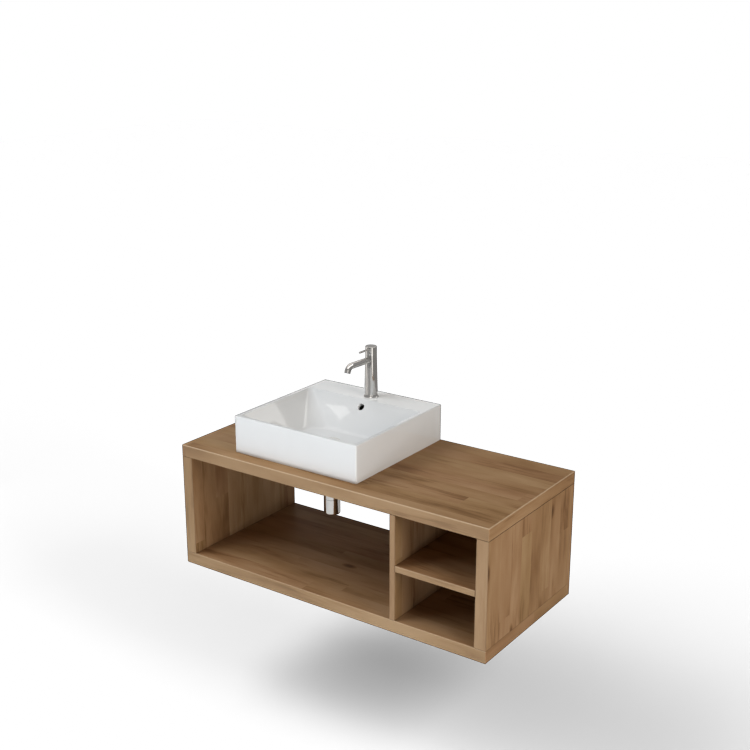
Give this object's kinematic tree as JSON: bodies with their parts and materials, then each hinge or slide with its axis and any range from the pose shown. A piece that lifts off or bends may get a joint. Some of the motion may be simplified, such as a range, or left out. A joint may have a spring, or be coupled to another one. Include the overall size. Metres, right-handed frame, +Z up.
{
  "type": "vessel sink vanity",
  "caption": "Wall-hung open vanity with thick oak-look boards, a shelf niche, a square ceramic vessel basin, a single-lever mixer tap and a chrome bottle trap.",
  "frame": {"origin": "midway between the two wall screw holes in the rear rails, on the wall plane", "axes": "+X to the right along the cabinet's length, +Y into the wall, +Z up; the front faces -Y"},
  "size_m": [1.1, 0.535, 0.682],
  "materials": {
    "oak_board": "matt oak-look melamine with fine pores",
    "beech_dowel": "raw beech",
    "white_ceramic": "glossy white glaze",
    "chrome": "polished chrome",
    "brass": "raw turned brass",
    "black_rubber": "matt",
    "white_plastic": "matt moulded",
    "zinc_steel": "zinc plated"
  },
  "bodies": {
    "root": {"top_board": "oak_board", "bottom_board": "oak_board", "left_side": "oak_board", "right_side": "oak_board", "divider": "oak_board", "niche_shelf": "oak_board", "bay_rail": "oak_board", "niche_rail": "oak_board", "side_dowels": "beech_dowel", "divider_dowels": "beech_dowel", "shelf_dowels": "beech_dowel", "rail_dowels": "beech_dowel", "basin": "white_ceramic", "waste_body": "chrome", "trap_union_nut": "chrome", "trap_inlet_tube": "chrome", "trap_neck_nut": "chrome", "trap_head": "chrome", "trap_cup": "chrome", "outlet_nut": "chrome", "wall_pipe": "chrome", "wall_rosette": "chrome", "tap_base_ring": "chrome", "tap_body": "chrome", "spout": "chrome", "waste_nut": "brass", "cartridge_nut": "brass", "stud_nut": "brass", "flange_seal": "black_rubber", "waste_washer": "black_rubber", "union_gasket": "black_rubber", "neck_gasket": "black_rubber", "cup_gasket": "black_rubber", "outlet_gasket": "black_rubber", "base_gasket": "black_rubber", "stud_gasket": "black_rubber", "aerator": "white_plastic", "cartridge_housing": "white_plastic", "click_housing": "white_plastic", "fixing_stud": "zinc_steel", "stud_washer": "zinc_steel"},
    "mixer_rotor": {"cartridge_rotor": "white_plastic", "lever_pivot_pin": "zinc_steel"},
    "mixer_handle": {"lever_stem": "zinc_steel", "handle_cap": "chrome", "lever_rod": "chrome", "handle_set_screw": "zinc_steel"},
    "drain_plug": {"plug_plunger": "brass", "plug_cap": "chrome", "plug_seal": "black_rubber"}
  },
  "joints": [
    {"name": "handle_swivel", "type": "hinge", "parent": "root", "child": "mixer_rotor", "pos_m": [-0.1425, -0.0575, 0.31232], "axis": [0, 0, 1], "range_deg": [-45, 45]},
    {"name": "handle_lift", "type": "hinge", "parent": "mixer_rotor", "child": "mixer_handle", "pos_m": [-0.1425, -0.0575, 0.31232], "axis": [-1, 0, 0], "range_deg": [0, 22]},
    {"name": "plug_push", "type": "slide", "parent": "root", "child": "drain_plug", "axis": [0, 0, 1], "range_m": [0, 0.0075]}
  ]
}
